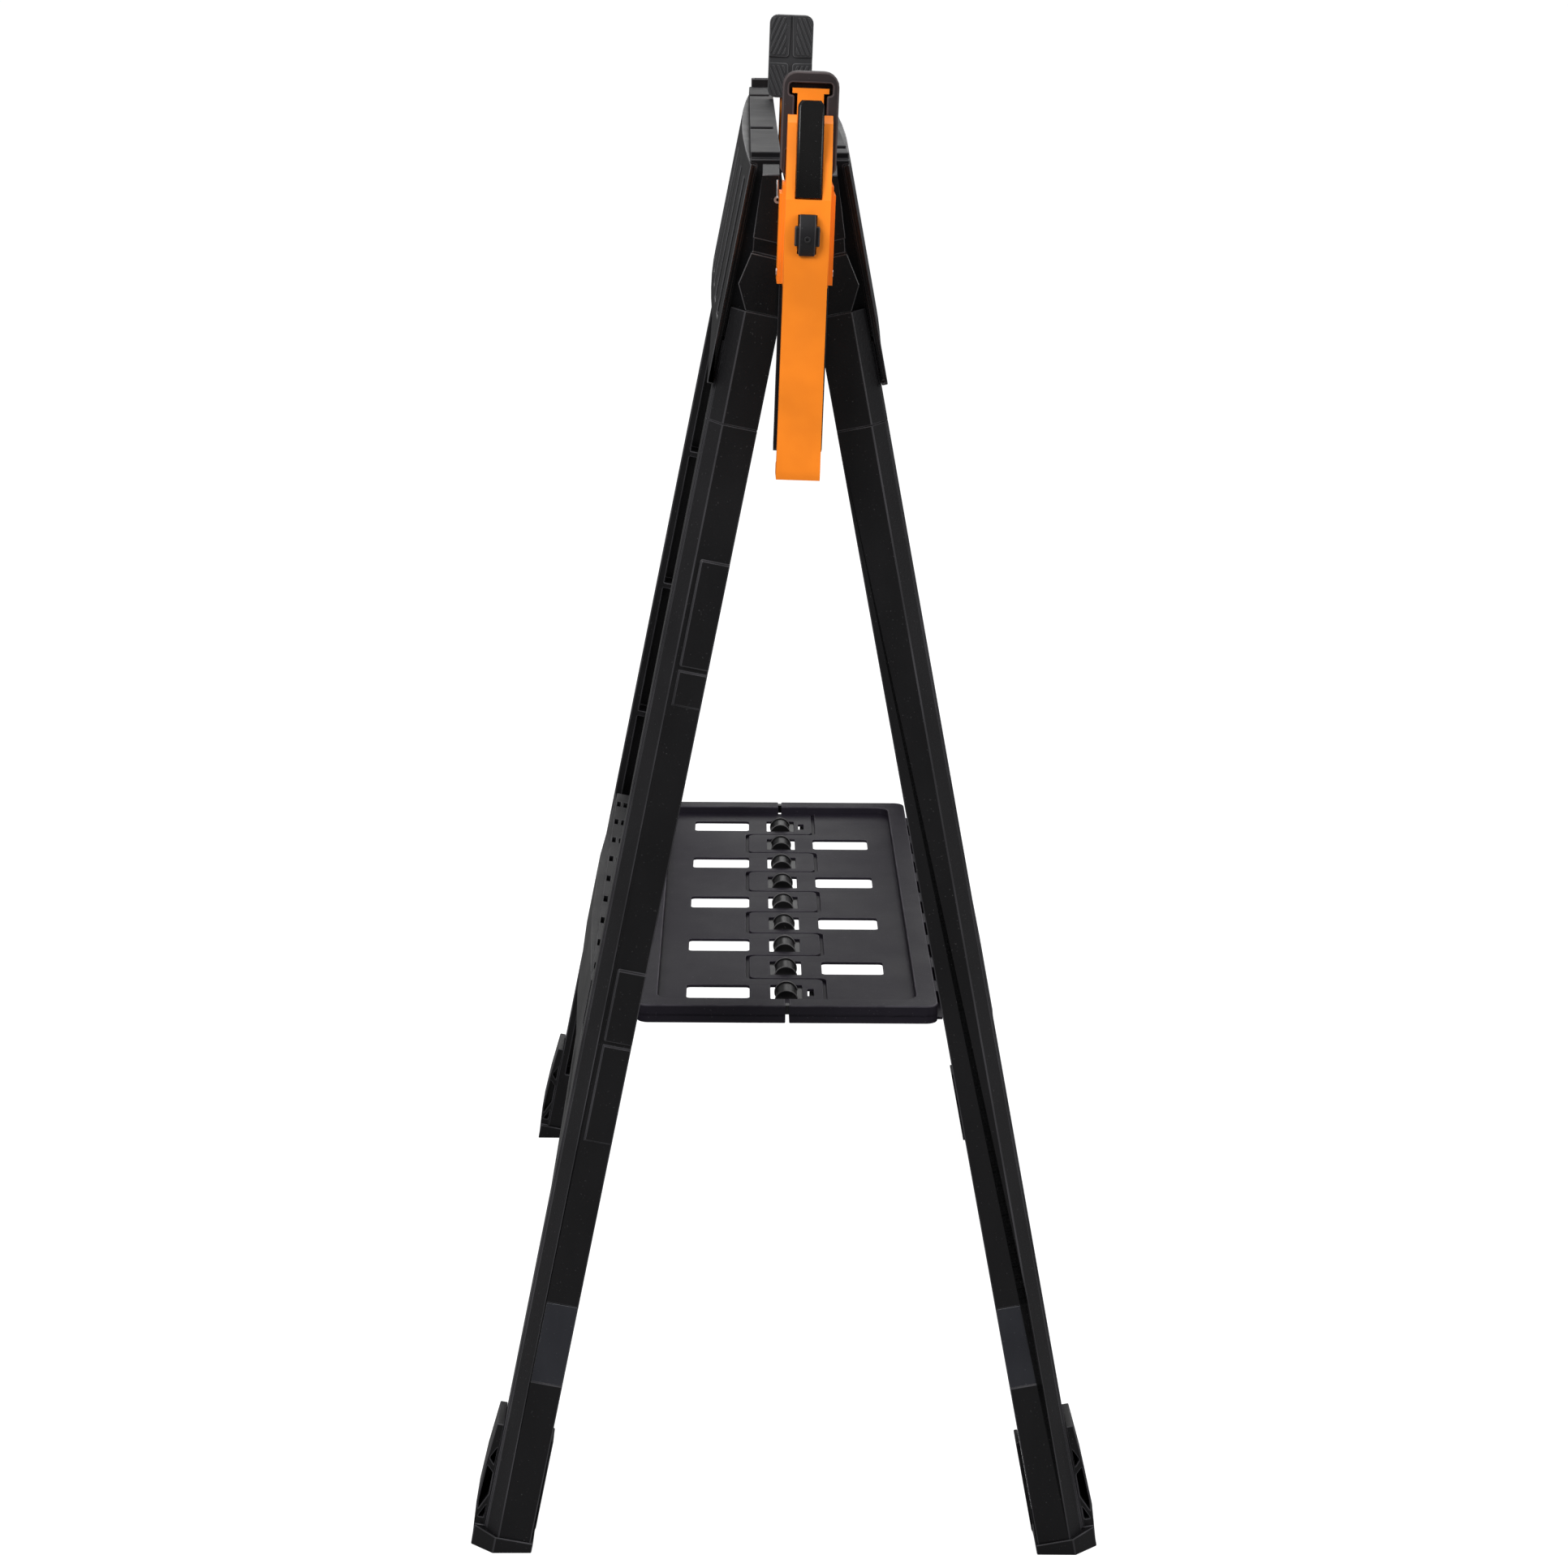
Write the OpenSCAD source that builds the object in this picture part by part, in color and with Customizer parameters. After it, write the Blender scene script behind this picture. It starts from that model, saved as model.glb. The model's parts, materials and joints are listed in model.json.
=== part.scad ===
// Folding clamping sawhorse: two moulded A-frame sides, a folding tray shelf
// and a one-hand bar clamp that runs along the channel in the work top.
// +Z is up, X is across the sawhorse, Y is along it, and the clamp is at -Y.

/* [Frame] */
// Height of the work top above the floor
top_h = 800; // [760:1:840]
// Height of the fold hinge above the floor
hinge_z = 748; // [740:1:752]
// Lean of each side frame from the vertical, in degrees
lean = 11.06; // [9:0.01:12]
// Half the length of the work top
top_half = 300; // [280:1:320]
// Half the distance between the outer faces of the front and rear feet
foot_half = 332; // [320:1:345]
// Width of the work top's deck on each side of the centre line
deck_x = 25.9; // [24:0.1:28]
// Half the width of the channel that the clamp bar runs in
channel_x = 10; // [9:0.5:11]
// Distance of a leg's inner face from the fold plane
leg_in = 3; // [2:0.5:4]
// Distance of a leg's outer face from the fold plane
leg_out = 31; // [29:0.5:33]
// Size of a leg along the sawhorse
leg_deep = 42; // [38:1:46]

/* [Shelf] */
// Height of the shelf's rim
shelf_z = 296; // [292:1:300]
// Half the length of the shelf
shelf_half = 213; // [205:1:218]
// Distance between the rows of the centre hinge
row_pitch = 43; // [42:0.5:44]
// How far a hinge finger reaches past the centre line
finger_reach = 20; // [16:1:22]

/* [Clamp] */
// Height of the clamp bar's centre
bar_z = 763; // [762:0.5:764]
// Where the clamp hangs, to the right of the centre line
clamp_x = 0.6; // [0:0.1:1.5]
// Tilt of the clamp about its bar, in degrees
clamp_tilt = 1.5; // [0:0.1:1.8]
// Turn of the clamp in its channel, as seen from above
clamp_yaw = 0.45; // [0:0.05:0.5]
// Width of the clamp's jaw faces
jaw_w = 29; // [26:0.5:30]
// Height of the clamp's jaw faces
jaw_h = 55; // [50:1:58]
// Where the fixed jaw's face stands along the sawhorse
far_jaw_y = 150; // [60:5:200]

/* [Hidden] */
$fn = 48;
mid_y = 8;                       // the frame's middle, which puts the origin under the whole
gap = 0.4;                       // running gap between parts that pass each other
wide = 1200;                     // larger than the object, for cutting planes
rise = top_h - hinge_z;
frame_cos = cos(lean);
frame_sin = sin(lean);
splay_rate = (foot_half - top_half) / top_h;
splay = atan(splay_rate * frame_cos);
front_y = top_half + splay_rate * rise;  // leg front at the height of the hinge
nose_y = 292;                    // where the beam ends and the end caps begin
deck_y = 285;                    // half the length of the deck's full-height part
nose_drop = 3.4;
pin_r = 2.5;
barrel_r = 4.6;
bore_gap = 0.05;
beam_low = -50;                  // bottom of the beam, down the frame from the hinge
cap_low = -34;                   // bottom of the end caps
socket_low = -95;                // where the leg leaves its socket
plate_low = -76;
plate_t = 3.3;
leg_top = beam_low - 0.1;
chamfer_x = 9;
chamfer_y = 10;
rail_hi = -456;
rail_lo = -572;
rail_in = 15.5;
shelf_pin_x = 8;                 // shelf hinge line in the frame's own directions
shelf_pin_z = -468;
shelf_pin_r = 2;
shelf_x = 90;
shelf_low = 284.5;
shelf_floor = 291;
rim = 12.4;
comb = 48;                       // how deep the shelf's hinge slots reach from the centre
centre_axis_z = 284;
rows = [for (i = [-4:4]) i * row_pitch];
clamp_front = -305;
clamp_back = -342;
boot_t = 11;
grip_low = 636;
trigger_pin = [-319, 741];
lever_pin = [-327, 790];
deck_notch_left = [-110, 191];
deck_notch_right = [-248, 53];

black = "#26262a";
coal = "#303034";
orange = "#ff8a1c";
rubber = "#453e40";
steel = "#b9bcc0";

// ---- placing ----
module mirror_x(side) { if (side < 0) mirror([1, 0, 0]) children(); else children(); }
module mirror_y(end) { if (end > 0) mirror([0, 1, 0]) children(); else children(); }
module on_side(side) translate([0, mid_y, 0]) mirror_x(side) children();
module in_frame(side) on_side(side) translate([0, 0, hinge_z]) rotate([0, -lean, 0]) children();
module at_leg(side, end) in_frame(side) mirror_y(end)
    translate([0, -front_y, 0]) rotate([-splay, 0, 0]) children();
module at_clamp() translate([clamp_x, mid_y, bar_z]) rotate([0, clamp_tilt, clamp_yaw])
    translate([0, 0, -bar_z]) children();
// An outline drawn in X and Z, carried from y0 to y1
module along_y(y0, y1) translate([0, y1, 0]) rotate([90, 0, 0]) linear_extrude(y1 - y0) children();
// An outline drawn in Y and Z, carried from x0 to x1
module along_x(x0, x1) translate([x0, 0, 0]) rotate([90, 0, 90]) linear_extrude(x1 - x0) children();
module slab(x0, x1, y0, y1, z0, z1) translate([x0, y0, z0]) cube([x1 - x0, y1 - y0, z1 - z0]);
module rod_y(x, z, r, y0, y1) translate([x, y0, z]) rotate([-90, 0, 0]) cylinder(r = r, h = y1 - y0);
module rod_x(y, z, r, x0, x1) translate([x0, y, z]) rotate([0, 90, 0]) cylinder(r = r, h = x1 - x0);
module rounded(w, h, r) hull() for (x = [-1, 1], z = [-1, 1])
    translate([x * (w / 2 - r), z * (h / 2 - r)]) circle(r, $fn = 32);

// World X and Z of a point given in the frame's own directions
function frame_x(u, w) = u * frame_cos - w * frame_sin;
function frame_z(u, w) = hinge_z + u * frame_sin + w * frame_cos;
function in_world(u, w) = [frame_x(u, w), frame_z(u, w)];

// ---- top beam ----
function beam_outline() = [
    [channel_x, top_h], [deck_x, top_h], [deck_x + 0.2, top_h - 5.5],
    in_world(leg_out, (top_h - 6 - hinge_z - leg_out * frame_sin) / frame_cos),
    in_world(leg_out, beam_low), in_world(leg_in, beam_low), in_world(leg_in, -7),
    [leg_in + 1.4, hinge_z + 5], [channel_x, hinge_z + 5]];

right_barrels = [[-290, -277], [-263, -250]];
left_barrels = [[-276.5, -263.5]];
function own_barrels(side) = side > 0 ? right_barrels : left_barrels;
function other_barrels(side) = side > 0 ? left_barrels : right_barrels;

module barrel_webs(side) for (end = [-1, 1], b = own_barrels(side)) mirror_y(end) {
    rod_y(0, hinge_z, barrel_r, b[0], b[1]);
    along_y(b[0], b[1]) polygon([[0, hinge_z - 4.2], [2.6, hinge_z - 5.4], [5.6, hinge_z - 8],
        [channel_x, hinge_z], [channel_x, hinge_z + barrel_r], [0, hinge_z + barrel_r]]);
}

module deck_notch(y) {
    slab(12.4, deck_x + 1, y - 11, y + 11, top_h - 2.6, top_h + 1);
    along_y(y - 4, y + 4) polygon([[12.4, top_h + 1], [12.4, top_h - 2.6], [16, top_h - 6],
        [24, top_h - 6], [24, top_h + 1]]);
}

module top_beam(side) color(black) on_side(side) difference() {
    union() {
        along_y(-nose_y, nose_y) polygon(beam_outline());
        barrel_webs(side);
    }
    for (end = [-1, 1]) mirror_y(end) {
        slab(0, 40, -nose_y - 1, -deck_y, top_h - nose_drop, top_h + 5);
        for (b = other_barrels(side)) rod_y(0, hinge_z, barrel_r + 0.6, b[0] - gap, b[1] + gap);
        rod_y(0, hinge_z, pin_r + bore_gap, -nose_y - 1, -245);
    }
    for (y = side > 0 ? deck_notch_right : deck_notch_left) deck_notch(y);
    // Coring pockets on the inner face, between the ribs
    for (i = [-3:3]) translate([0, 0, hinge_z]) rotate([0, -lean, 0])
        slab(-1, 17, i * 66 - 29, i * 66 + 29, beam_low + 5, -12);
}

// ---- ribbed side plate, bowed outwards along its length ----
plate_bow = 5;
panel_low = -54;                 // bottom of the bowed panel
function bowed(y, half, bow) = bow * (1 - pow(y / half, 2));
module bow_plan(x0, x1, half, bow) polygon(concat([[x0, -half]],
    [for (i = [-12:12]) [x1 + bowed(i * half / 12, half, bow), i * half / 12]], [[x0, half]]));

pockets = [for (i = [-4:4]) i * 65];
module side_plate(side) color(coal) in_frame(side) difference() {
    translate([0, 0, plate_low]) linear_extrude(40.6 - plate_low)
        bow_plan(leg_out, leg_out + plate_t, top_half, plate_bow);
    for (y = pockets) slab(leg_out + plate_t - 2.2 + bowed(abs(y) + 13, top_half, plate_bow),
        leg_out + 12, y - 13, y + 13, -45, 30);
    for (end = [-1, 1]) mirror_y(end)
        slab(leg_out - 1, leg_out + plate_t - 1, -top_half - 1, -nose_y, plate_low + 1.4, 42);
    // Below the bowed panel the plate is flat
    slab(leg_out + plate_t, leg_out + 20, -top_half - 1, top_half + 1, plate_low - 1, panel_low);
}

// ---- end caps: an upper and a lower panel with a groove between them ----
module end_cap(side, end) on_side(side) mirror_y(end) intersection() {
    along_x(0, 60) polygon([[-nose_y - 0.1, top_h - 5.4], [-nose_y - 9.1, top_h - 10.4],
        [-nose_y - 11.4, hinge_z - 36], [-nose_y - 0.1, hinge_z - 36]]);
    union() {
        along_y(-nose_y - 20, -nose_y) polygon([[channel_x + 0.5, top_h], [19.6, top_h],
            [19.6, top_h - 11], [24.4, top_h - 43.2], [channel_x + 0.5, top_h - 46.2]]);
        along_y(-nose_y - 4, -nose_y) polygon([[channel_x + 0.5, top_h - 40], [23.8, top_h - 40],
            [24.6, top_h - 52], in_world(0.6, -10), [channel_x + 0.5, top_h - 47]]);
        along_y(-nose_y - 20, -nose_y) polygon([in_world(0.6, -4.4), [25.2, top_h - 50.8],
            [32, top_h - 67], in_world(leg_out - chamfer_x, cap_low), in_world(0.6, cap_low)]);
    }
}
module end_caps(side) color("#1f1d20") for (end = [-1, 1]) end_cap(side, end);

// ---- legs, sockets and feet ----
lip = 1.4;
function leg_section(grow) = [[leg_in, -grow], [leg_out - chamfer_x, -grow],
    [leg_out - lip, chamfer_y - lip - grow], [leg_out - lip, chamfer_y + 0.4 - grow],
    [leg_out, chamfer_y + 0.4 - grow], [leg_out, leg_deep], [leg_in, leg_deep]];

module leg_column(z0, z1, grow) translate([0, 0, z0]) linear_extrude(z1 - z0) polygon(leg_section(grow));

module socket(side, end) color(black) at_leg(side, end) difference() {
    union() {
        leg_column(socket_low, leg_top - 2.2, 0.4);
        intersection() {
            leg_column(leg_top - 5, cap_low + 0.2, 0.4);
            slab(0, leg_out, -2, 8.8, leg_top - 5, cap_low);
        }
    }
    slab(leg_in + 5, leg_out - 5, 24, leg_deep + 1, socket_low + 6, leg_top - 8);
}

// Raised catch pads on the left legs' end faces, and the smooth label recess
pads_left = [[-169, -228, 2.2], [-231, -250, 1.1], [-404, -446, 2.2], [-449, -506, 1.1]];
recess_top = -607;
recess_low = -657;

module leg(side, end) color(black) difference() {
    at_leg(side, end) difference() {
        union() {
            leg_column(-790, socket_low - 0.1, 0);
            if (side < 0) for (p = pads_left) slab(leg_in, leg_in + 15.5, -p[2], 1, p[1], p[0]);
        }
        for (i = [0:5]) slab(leg_in + 5, leg_out - 5, 26, leg_deep + 1, -212 - i * 100, -116 - i * 100);
        slab(leg_in - 1, leg_out - chamfer_x - 0.6, -1, 0.8, recess_low, recess_top);
    }
    translate([-wide / 2, -wide / 2, -wide]) cube([wide, wide, wide + 3]);
}

function foot_section() = [[1.4, -1.4], [leg_out - 7.4, -1.4], [leg_out + 5.8, 9.5],
    [leg_out + 5.8, leg_deep + 2], [1.4, leg_deep + 2]];
cap_top = -757;
fin_top = -692;

module foot_fin() along_y(11, leg_deep) difference() {
    polygon([[leg_out + gap / 4, cap_top - 8], [leg_out + 5.8, cap_top - 8],
        [leg_out + 7.4, cap_top + 14], [leg_out + 6.6, cap_top + 38], [leg_out + 4.4, fin_top],
        [leg_out + gap / 4, fin_top]]);
    polygon([[leg_out + 1.4, cap_top + 5], [leg_out + 5, cap_top + 5], [leg_out + 1.4, cap_top + 13]]);
    polygon([[leg_out + 5.7, cap_top + 10], [leg_out + 6.1, cap_top + 16], [leg_out + 5.2, cap_top + 38],
        [leg_out + 1.4, cap_top + 34], [leg_out + 1.4, cap_top + 20]]);
    polygon([[leg_out + 1.4, cap_top + 39], [leg_out + 4.6, cap_top + 43],
        [leg_out + 1.4, cap_top + 50]]);
}

module foot(side, end) color(black) difference() {
    at_leg(side, end) {
        difference() {
            translate([0, 0, -790]) linear_extrude(790 + cap_top) polygon(foot_section());
            leg_column(-800, cap_top + 1, 0.1);
        }
        intersection() {
            translate([0, 0, -795]) linear_extrude(60) polygon(foot_section());
            slab(0, 60, -20, 80, -795, -772);
        }
        foot_fin();
        slab(0.6, leg_in - 0.1, 26, leg_deep + 2, cap_top - 6, -704);
    }
    translate([-wide / 2, -wide / 2, -wide]) cube([wide, wide, wide]);
    intersection() {
        at_leg(side, end) leg_column(-800, -600, 0.1);
        translate([-wide / 2, -wide / 2, 2.9]) cube([wide, wide, 200]);
    }
}

// ---- lower cross rail that carries the shelf ----
function rail_end(w) = front_y - w * tan(splay) - leg_deep / cos(splay) - 0.15;
function arch(y) = rail_lo + 34 * (1 - pow(y / 262, 2));

rail_shoulder = -480;
lug_half = 198;
module rail_face() polygon(concat( [[-rail_end(rail_shoulder), rail_shoulder],
    [-rail_end(rail_lo), rail_lo]], [for (i = [-6:6]) [i * 262 / 6.5, arch(i * 262 / 6.5)]],
    [[rail_end(rail_lo), rail_lo], [rail_end(rail_shoulder), rail_shoulder],
    [lug_half + 8, rail_shoulder], [lug_half, rail_hi], [-lug_half, rail_hi],
    [-lug_half - 8, rail_shoulder]]));

module cross_rail(side) color(coal) in_frame(side) difference() {
    union() {
        along_x(rail_in, leg_out - 0.6) rail_face();
        // Bowed outer band below the hinge line
        translate([0, 0, -506]) linear_extrude(49) bow_plan(leg_out - 1, leg_out - 0.6, lug_half, 6);
        for (i = [-4:3]) {
            rod_y(shelf_pin_x, shelf_pin_z, barrel_r, (i + 0.5) * row_pitch - 8,
                (i + 0.5) * row_pitch + 8);
            slab(shelf_pin_x, rail_in + 1, (i + 0.5) * row_pitch - 8, (i + 0.5) * row_pitch + 8,
                shelf_pin_z - 8, shelf_pin_z + barrel_r - 0.4);
        }
    }
    rod_y(shelf_pin_x, shelf_pin_z, shelf_pin_r + bore_gap, -shelf_half, shelf_half);
    for (y = rows) {
        slab(rail_in - 1, 19.5, y - 10, y + 10, shelf_pin_z - 11, rail_hi + 1);
        slab(21.5, 25, y - 6, y + 6, rail_hi - 9, rail_hi + 1);
        slab(26.8, 29.6, y - 6, y + 6, rail_hi - 9, rail_hi + 1);
    }
    slab(leg_out - 3, leg_out + 9, -236, 236, rail_lo + 42, -512);
}

// Two-loop hook for a tool strap, outside each cross rail
module rail_hook(side) color(black) in_frame(side) difference() {
    slab(leg_out - 2.9, leg_out + 1.8, 10, 34, rail_lo + 44, -513);
    for (w = [-522, -516.5]) slab(leg_out - 1, leg_out + 3, 8, 36, w, w + 3);
}

// ---- folding shelf ----
module tray_plan(side) {
    own = side > 0 ? [-3, -1, 1, 3] : [-4, -2, 0, 2, 4];
    translate([comb, -shelf_half]) square([shelf_x - comb, 2 * shelf_half]);
    for (i = own) translate([-finger_reach, i * row_pitch - 20.6]) square([comb + finger_reach + 1,
        41.2]);
    lip = side > 0 ? shelf_half - 8.6 : shelf_half - 18;
    for (end = [-1, 1]) translate([0.3, end > 0 ? lip : -lip - 8.6]) square([comb, 8.6]);
}

module shelf_slots(side) for (i = side > 0 ? [-3, -1, 1, 3] : [-4, -2, 0, 2, 4])
    translate([23, i * row_pitch - 7]) square([38, 14]);

module shelf(side) color("#39363c") {
    on_side(side) difference() {
        union() {
            translate([0, 0, shelf_low]) linear_extrude(shelf_floor - shelf_low) tray_plan(side);
            slab(shelf_x - rim, shelf_x, -shelf_half, shelf_half, shelf_low, shelf_z);
            for (end = [-1, 1]) mirror_y(end) {
                slab(comb, shelf_x, -shelf_half, -shelf_half + rim, shelf_low, shelf_z);
                slab(0.3, comb, side > 0 ? -shelf_half : -shelf_half + 9.4,
                    side > 0 ? -shelf_half + 8.6 : -shelf_half + 18, shelf_low, shelf_z);
            }
            for (i = side > 0 ? [-3, -1, 1, 3] : [-4, -2, 0, 2, 4])
                rod_y(0, centre_axis_z, 3.6, i * row_pitch - 18, i * row_pitch + 18);
            for (y = rows) {
                rod_y(frame_x(shelf_pin_x, shelf_pin_z), frame_z(shelf_pin_x, shelf_pin_z), barrel_r,
                    y - 9, y + 9);
                slab(shelf_x - 1, frame_x(shelf_pin_x, shelf_pin_z), y - 9, y + 9,
                    frame_z(shelf_pin_x, shelf_pin_z) - 4, frame_z(shelf_pin_x, shelf_pin_z) + 4);
            }
        }
        translate([0, 0, shelf_low - 1]) linear_extrude(20) shelf_slots(side);
        for (i = [-4:3]) slab(52, 76, (i + 0.5) * row_pitch - 20, (i + 0.5) * row_pitch + 20,
            shelf_low - 1, shelf_floor - 3);
        rod_y(frame_x(shelf_pin_x, shelf_pin_z), frame_z(shelf_pin_x, shelf_pin_z),
            shelf_pin_r + bore_gap, -shelf_half, shelf_half);
    }
}

module shelf_pin(side) color(steel) in_frame(side)
    rod_y(shelf_pin_x, shelf_pin_z, shelf_pin_r, -190, 190);

// ---- fold hinge pins and catch pin ----
module hinge_pin(end) color(steel) on_side(1) mirror_y(end) {
    rod_y(0, hinge_z, pin_r, -291, -249);
    rod_y(0, hinge_z, pin_r + 1.6, -293, -291);
}

// Small bright pin with an eye, beside the clamp
module front_catch_pin() color(steel) on_side(-1) {
    translate([11.6, -302.6, 778]) cylinder(r = 0.8, h = 9);
    difference() {
        rod_y(11.6, 776.8, 1.9, -303.6, -301.9);
        rod_y(11.6, 776.8, 0.8, -305, -300);
    }
}

// Raised stop at the rear end that keeps the bar in its channel
module rear_bar_stop() color(black) on_side(-1) difference() {
    slab(10.6, 24.4, deck_y + 0.2, nose_y + 7.8, top_h - nose_drop, top_h + 5.4);
    slab(13, 22, deck_y + 2.6, nose_y + 5.4, top_h + 1, top_h + 6);
}

// ---- bar clamp ----
bar_half = 3.2;
bar_h = 18;
bar_front = clamp_back - 2.2;
bar_rear = far_jaw_y + 36;
stem_y = far_jaw_y + 8.2;        // front of the fixed jaw's stem, behind its pad
window_h = 20;

module clamp_bar() color(orange) at_clamp() difference() {
    slab(-bar_half, bar_half, bar_front, bar_rear, bar_z - bar_h / 2, bar_z + bar_h / 2);
    for (s = [-1, 1]) slab(s > 0 ? bar_half - 1.1 : -bar_half - 1, s > 0 ? bar_half + 1 : -bar_half + 1.1,
        bar_front - 1, bar_rear + 1, bar_z - 5.6, bar_z + 5.6);
}

module fixed_jaw() color(orange) at_clamp() {
    difference() {
        union() {
            slab(-5.6, 5.6, stem_y, bar_rear - 3, bar_z - bar_h / 2, top_h - 1);
            along_x(-9.4, 9.4) polygon([[stem_y, top_h + 1.4], [stem_y, top_h + 50],
                [far_jaw_y + 16, top_h + 50], [far_jaw_y + 26, top_h + 30], [bar_rear - 3, top_h + 1.4]]);
            slab(-5.6, 5.6, stem_y, bar_rear - 3, top_h - 2, top_h + 3);
        }
        slab(-bar_half - 0.05, bar_half + 0.05, far_jaw_y, bar_rear + 1, bar_z - bar_h / 2 - 1,
            bar_z + bar_h / 2 + 0.05);
        for (s = [-1, 1]) slab(s > 0 ? 2.5 : -10, s > 0 ? 10 : -2.5, far_jaw_y + 14, bar_rear - 8,
            top_h + 8, top_h + 26);
    }
    slab(-7, 7, far_jaw_y + 3, far_jaw_y + 9, top_h + 12, top_h + 40);
}

module jaw_face(t) difference() {
    rotate([90, 0, 0]) linear_extrude(t) rounded(jaw_w, jaw_h, 5);
    for (a = [0, 90]) rotate([0, a, 0]) translate([0, 0.3, 0]) rotate([45, 0, 0])
        translate([-jaw_h, -0.9, -0.9]) cube([2 * jaw_h, 1.8, 1.8]);
}

module fixed_jaw_pad() color(rubber) at_clamp() difference() {
    translate([0, far_jaw_y, top_h + 0.9 + jaw_h / 2]) mirror([0, 1, 0]) jaw_face(8);
    slab(-7.1, 7.1, far_jaw_y + 2.9, far_jaw_y + 9, top_h + 11.9, top_h + 40.1);
}

module bar_end_stop() color("#3a3a3e") at_clamp() difference() {
    intersection() {
        slab(-8, 8, bar_front - 4.8, clamp_back - 0.5, bar_z - 9.6, bar_z + 9.6);
        union() {
            intersection() {
                slab(-4.6, 4.6, bar_front - 6, clamp_back, bar_z - 9.6, bar_z + 9.6);
                rod_x(bar_front + 6, bar_z, 11.4, -5, 5);
            }
            rod_x(bar_front - 0.6, bar_z, 4.4, -6.6, 6.6);
        }
    }
    slab(-bar_half - 0.05, bar_half + 0.05, bar_front - 0.05, 0, bar_z - bar_h, bar_z + bar_h);
    rod_y(0, bar_z - 1.5, 1.2, bar_front - 9, bar_front - 2);
    rod_x(bar_front - 2.4, bar_z + 4.9, 1, -9, 9);
}

module bar_stop_pin() color(steel) at_clamp() rod_x(bar_front - 2.4, bar_z + 4.9, 1, -4.2, 4.2);

jaw_z = top_h + 15.3;            // middle of the moving jaw's face
lever_room = bar_z + 18;
module clamp_body() color(orange) at_clamp() difference() {
    union() {
        // T-section rib that the boot slides over
        slab(-6.8, 6.8, clamp_front - 8, clamp_front - 3, bar_z + 5, top_h + 34);
        slab(-9.5, 9.5, clamp_front - 8, clamp_front - 3, top_h + 31.8, top_h + 34.4);
        // Two cheeks that hold the release lever
        for (s = [-1, 1]) along_x(s > 0 ? 7 : -11.6, s > 0 ? 11.6 : -7) polygon([[clamp_front - 12,
            bar_z + 8], [clamp_front - 12, top_h + 21], [clamp_front - 17, top_h + 21.6],
            [clamp_front - 23, top_h + 18], [clamp_back + 4, top_h - 2], [clamp_back, bar_z + 12],
            [clamp_back, bar_z + 8]]);
        slab(-11.6, 11.6, clamp_back, clamp_front, bar_z - 27, lever_room - 0.4);
        for (s = [[14.4, 24, -27, 19], [13, 30, -26, 24]])
            slab(-s[0], s[0], clamp_front - s[1], clamp_front, bar_z + s[2], bar_z + s[3]);
        // Grip, hollow towards the trigger
        intersection() {
            along_x(-20, 20) polygon([[clamp_back, bar_z - 11], [clamp_back - 1, 720],
                [clamp_back + 1.5, 690], [clamp_back - 0.4, 660], [clamp_back - 2.4, grip_low + 5],
                [clamp_back - 1.4, grip_low], [clamp_back + 19, grip_low],
                [clamp_back + 20, grip_low + 5], [clamp_back + 10, grip_low + 8],
                [clamp_back + 10, 700], [clamp_back + 12, 722], [clamp_back + 24, bar_z - 11]]);
            along_y(-400, -200) polygon([[-11.2, bar_z - 8], [11.2, bar_z - 8], [11.5, grip_low],
                [-11.5, grip_low]]);
        }
    }
    // Room between the cheeks for the release lever
    slab(-7, 7, clamp_back - 1, clamp_front - 8, lever_room, top_h + 60);
    // Way for the bar, and the room for the drive plates and the trigger's head
    slab(-4.9, 4.9, clamp_back - 20, 0, bar_z - window_h / 2, bar_z + window_h / 2);
    slab(-8.4, 8.4, clamp_front - 26, clamp_front - 4, bar_z - 18, bar_z + 13);
    slab(-7.6, 7.6, clamp_back + 3, clamp_front + 1, bar_z - 40, bar_z - 17.9);
    slab(-9, 9, clamp_back + 3, clamp_back + 40, grip_low + 14, bar_z - 26);
    slab(-16, 16, clamp_front - 14, clamp_front + 1, bar_z - 60, bar_z - 27);
    rod_x(trigger_pin[0], trigger_pin[1], 2.05, -20, 20);
    rod_x(lever_pin[0], lever_pin[1], 2.05, -20, 20);
    slab(-16, 16, clamp_front - 0.5, clamp_front + 1, bar_z - 30, top_h + 40);
}

module jaw_boot() color(rubber) at_clamp() difference() {
    translate([0, clamp_front + 0.6, jaw_z]) mirror([0, 1, 0]) rotate([0, 0, 180]) jaw_face(boot_t);
    slab(-7, 7, clamp_front - 16, clamp_front - 2.8, top_h - 30, top_h + 32);
    slab(-9.7, 9.7, clamp_front - 14, clamp_front - 2.8, top_h + 31.6, top_h + 34.6);
    slab(-10.6, 10.6, clamp_front - 16, clamp_front - 8, top_h + 30.4, top_h + 35.6);
    slab(-8.2, 8.2, clamp_front - 16, clamp_front - 8, top_h - 30, top_h + 32);
    slab(-11.8, 11.8, clamp_front - 16, clamp_front - 8, top_h - 40, top_h + 22);
    slab(-15.6, 15.6, clamp_front - 16, clamp_front + 0.1, top_h - 40, top_h - 12.8);
}

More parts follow.
